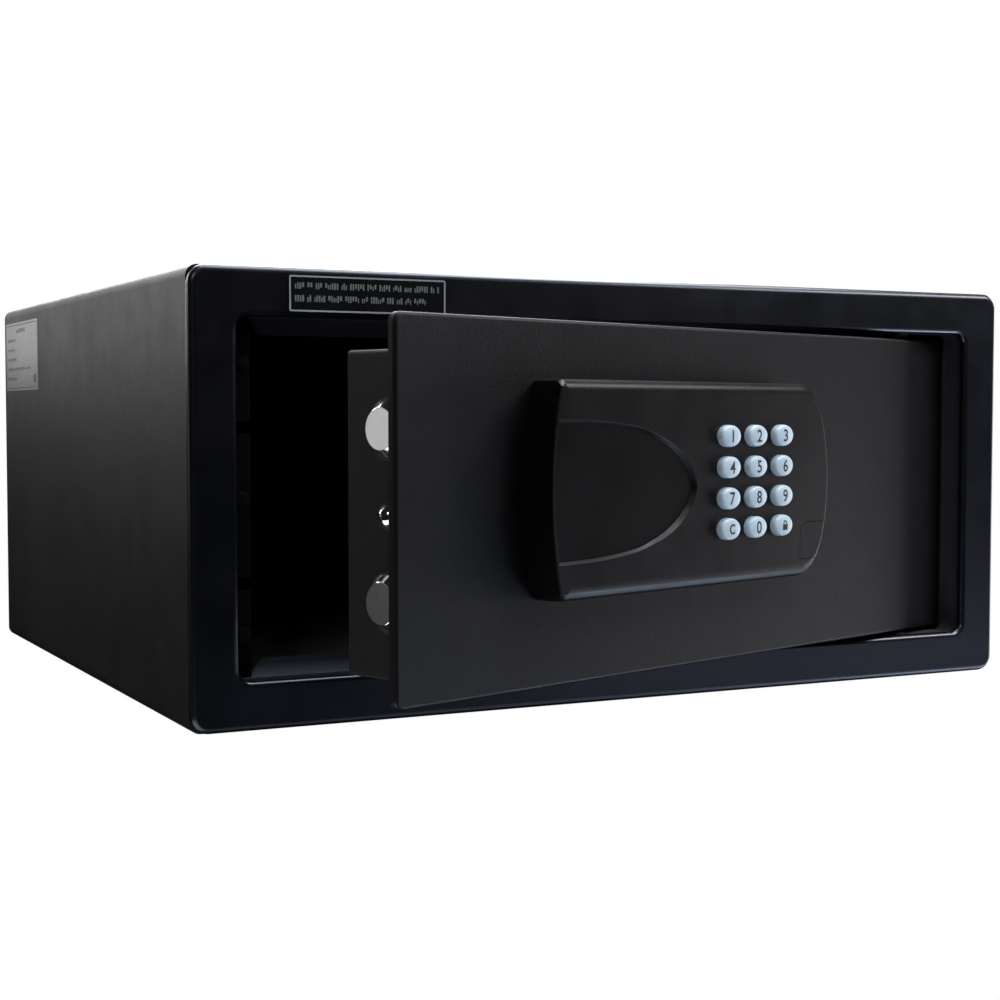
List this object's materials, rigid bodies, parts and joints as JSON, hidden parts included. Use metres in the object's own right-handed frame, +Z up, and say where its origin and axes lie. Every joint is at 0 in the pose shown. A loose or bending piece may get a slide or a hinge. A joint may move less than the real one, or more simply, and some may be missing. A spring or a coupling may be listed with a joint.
{
  "type": "in-room safe",
  "caption": "Black steel hotel in-room safe for a laptop, with a flush swing door standing ajar, motor-driven locking bolts, a keypad with oval keys and a dark display window on the door.",
  "frame": {"origin": "centre of the base, on the surface the safe stands on", "axes": "+Z up; the door and keypad face -Y; +X is to the right seen from the front"},
  "size_m": [0.4301, 0.4894, 0.195],
  "materials": {
    "body_paint": "fine texture black powder coat",
    "frame_paint": "smooth satin black",
    "door_paint": "fine texture black powder coat",
    "housing_paint": "matt black",
    "rubber": "matt",
    "silicone": "matt",
    "zinc_steel": "zinc plated",
    "plate_steel": "rolled",
    "gear_steel": "machined",
    "bolt_chrome": "satin chrome",
    "black_nylon": "moulded",
    "cast_zinc": "die cast",
    "motor_steel": "plated can",
    "circuit_board": "solder mask",
    "battery_sleeve": "printed sleeve, plain",
    "keypad_plastic": "satin moulded",
    "window_plastic": "dark smoked, fine texture",
    "display_module": "dark red filter",
    "ribbon": "flat ribbon",
    "key_plastic": "pale pearl, satin",
    "felt": "needled felt",
    "plate_black": "printed label",
    "label_silver": "printed foil label"
  },
  "bodies": {
    "safe_body": {"body_wrap": "body_paint", "rear_panel": "body_paint", "front_frame": "frame_paint", "strike_channel": "frame_paint", "hinge_jamb": "frame_paint", "door_buffers": "rubber", "hinge_blocks": "frame_paint", "hinge_pins": "zinc_steel", "hinge_washers": "black_nylon", "floor_mat": "felt", "instruction_plate": "plate_black", "rating_label": "label_silver"},
    "door": {"door_plate": "door_paint", "hinge_lugs": "door_paint", "lock_housing": "housing_paint", "rear_cover": "housing_paint", "cover_screws": "zinc_steel", "bolt_bushes": "black_nylon", "gearbox": "cast_zinc", "motor": "motor_steel", "motor_bracket": "plate_steel", "motor_screws": "zinc_steel", "rack_guide": "black_nylon", "limit_switches": "black_nylon", "switch_posts": "zinc_steel", "control_board": "circuit_board", "board_standoffs": "zinc_steel", "battery_tray": "black_nylon", "batteries": "battery_sleeve", "battery_contacts": "zinc_steel", "keypad_housing": "keypad_plastic", "port_socket": "black_nylon", "display_window": "window_plastic", "led_display": "display_module", "keypad_board": "circuit_board", "key_mat": "silicone", "module_screws": "zinc_steel", "keypad_ribbon": "ribbon"},
    "bolt_carriage": {"locking_bolts": "bolt_chrome", "guide_pin": "bolt_chrome", "bolt_bar": "plate_steel", "drive_rack": "plate_steel", "carriage_screws": "zinc_steel"},
    "pinion": {"drive_pinion": "gear_steel", "output_shaft": "gear_steel"},
    "port_cover": {"port_cover": "keypad_plastic"},
    "battery_cover": {"battery_cover": "housing_paint"},
    "key_1": {"key_1": "key_plastic"},
    "key_2": {"key_2": "key_plastic"},
    "key_3": {"key_3": "key_plastic"},
    "key_4": {"key_4": "key_plastic"},
    "key_5": {"key_5": "key_plastic"},
    "key_6": {"key_6": "key_plastic"},
    "key_7": {"key_7": "key_plastic"},
    "key_8": {"key_8": "key_plastic"},
    "key_9": {"key_9": "key_plastic"},
    "key_clear": {"key_clear": "key_plastic"},
    "key_0": {"key_0": "key_plastic"},
    "key_lock": {"key_lock": "key_plastic"}
  },
  "joints": [
    {"name": "door_hinge", "type": "hinge", "parent": "safe_body", "child": "door", "pos_m": [0.159, -0.1791, 0.0975], "axis": [0, 0, 1], "range_deg": [-19, 76]},
    {"name": "bolt_slide", "type": "slide", "parent": "door", "child": "bolt_carriage", "axis": [-0.9455, -0.3256, 0], "range_m": [0, 0.015]},
    {"name": "pinion_spin", "type": "hinge", "parent": "door", "child": "pinion", "pos_m": [-0.09774, -0.23821, 0.088], "axis": [-0.3256, 0.9455, 0], "range_deg": [-124, 0]},
    {"name": "port_cover_pull", "type": "slide", "parent": "door", "child": "port_cover", "axis": [0.3256, -0.9455, 0], "range_m": [0, 0.01]},
    {"name": "battery_cover_pull", "type": "slide", "parent": "door", "child": "battery_cover", "axis": [-0.3256, 0.9455, 0], "range_m": [0, 0.015]},
    {"name": "key_1_press", "type": "slide", "parent": "door", "child": "key_1", "axis": [-0.3256, 0.9455, 0], "range_m": [0, 0.0008], "stiffness_N_per_m": 1200, "springref_m": -0.0002},
    {"name": "key_2_press", "type": "slide", "parent": "door", "child": "key_2", "axis": [-0.3256, 0.9455, 0], "range_m": [0, 0.0008], "stiffness_N_per_m": 1200, "springref_m": -0.0002},
    {"name": "key_3_press", "type": "slide", "parent": "door", "child": "key_3", "axis": [-0.3256, 0.9455, 0], "range_m": [0, 0.0008], "stiffness_N_per_m": 1200, "springref_m": -0.0002},
    {"name": "key_4_press", "type": "slide", "parent": "door", "child": "key_4", "axis": [-0.3256, 0.9455, 0], "range_m": [0, 0.0008], "stiffness_N_per_m": 1200, "springref_m": -0.0002},
    {"name": "key_5_press", "type": "slide", "parent": "door", "child": "key_5", "axis": [-0.3256, 0.9455, 0], "range_m": [0, 0.0008], "stiffness_N_per_m": 1200, "springref_m": -0.0002},
    {"name": "key_6_press", "type": "slide", "parent": "door", "child": "key_6", "axis": [-0.3256, 0.9455, 0], "range_m": [0, 0.0008], "stiffness_N_per_m": 1200, "springref_m": -0.0002},
    {"name": "key_7_press", "type": "slide", "parent": "door", "child": "key_7", "axis": [-0.3256, 0.9455, 0], "range_m": [0, 0.0008], "stiffness_N_per_m": 1200, "springref_m": -0.0002},
    {"name": "key_8_press", "type": "slide", "parent": "door", "child": "key_8", "axis": [-0.3256, 0.9455, 0], "range_m": [0, 0.0008], "stiffness_N_per_m": 1200, "springref_m": -0.0002},
    {"name": "key_9_press", "type": "slide", "parent": "door", "child": "key_9", "axis": [-0.3256, 0.9455, 0], "range_m": [0, 0.0008], "stiffness_N_per_m": 1200, "springref_m": -0.0002},
    {"name": "key_clear_press", "type": "slide", "parent": "door", "child": "key_clear", "axis": [-0.3256, 0.9455, 0], "range_m": [0, 0.0008], "stiffness_N_per_m": 1200, "springref_m": -0.0002},
    {"name": "key_0_press", "type": "slide", "parent": "door", "child": "key_0", "axis": [-0.3256, 0.9455, 0], "range_m": [0, 0.0008], "stiffness_N_per_m": 1200, "springref_m": -0.0002},
    {"name": "key_lock_press", "type": "slide", "parent": "door", "child": "key_lock", "axis": [-0.3256, 0.9455, 0], "range_m": [0, 0.0008], "stiffness_N_per_m": 1200, "springref_m": -0.0002}
  ],
  "couplings": [
    {"joint": "pinion_spin", "follows": "bolt_slide", "rad_per_m": -142.86}
  ]
}
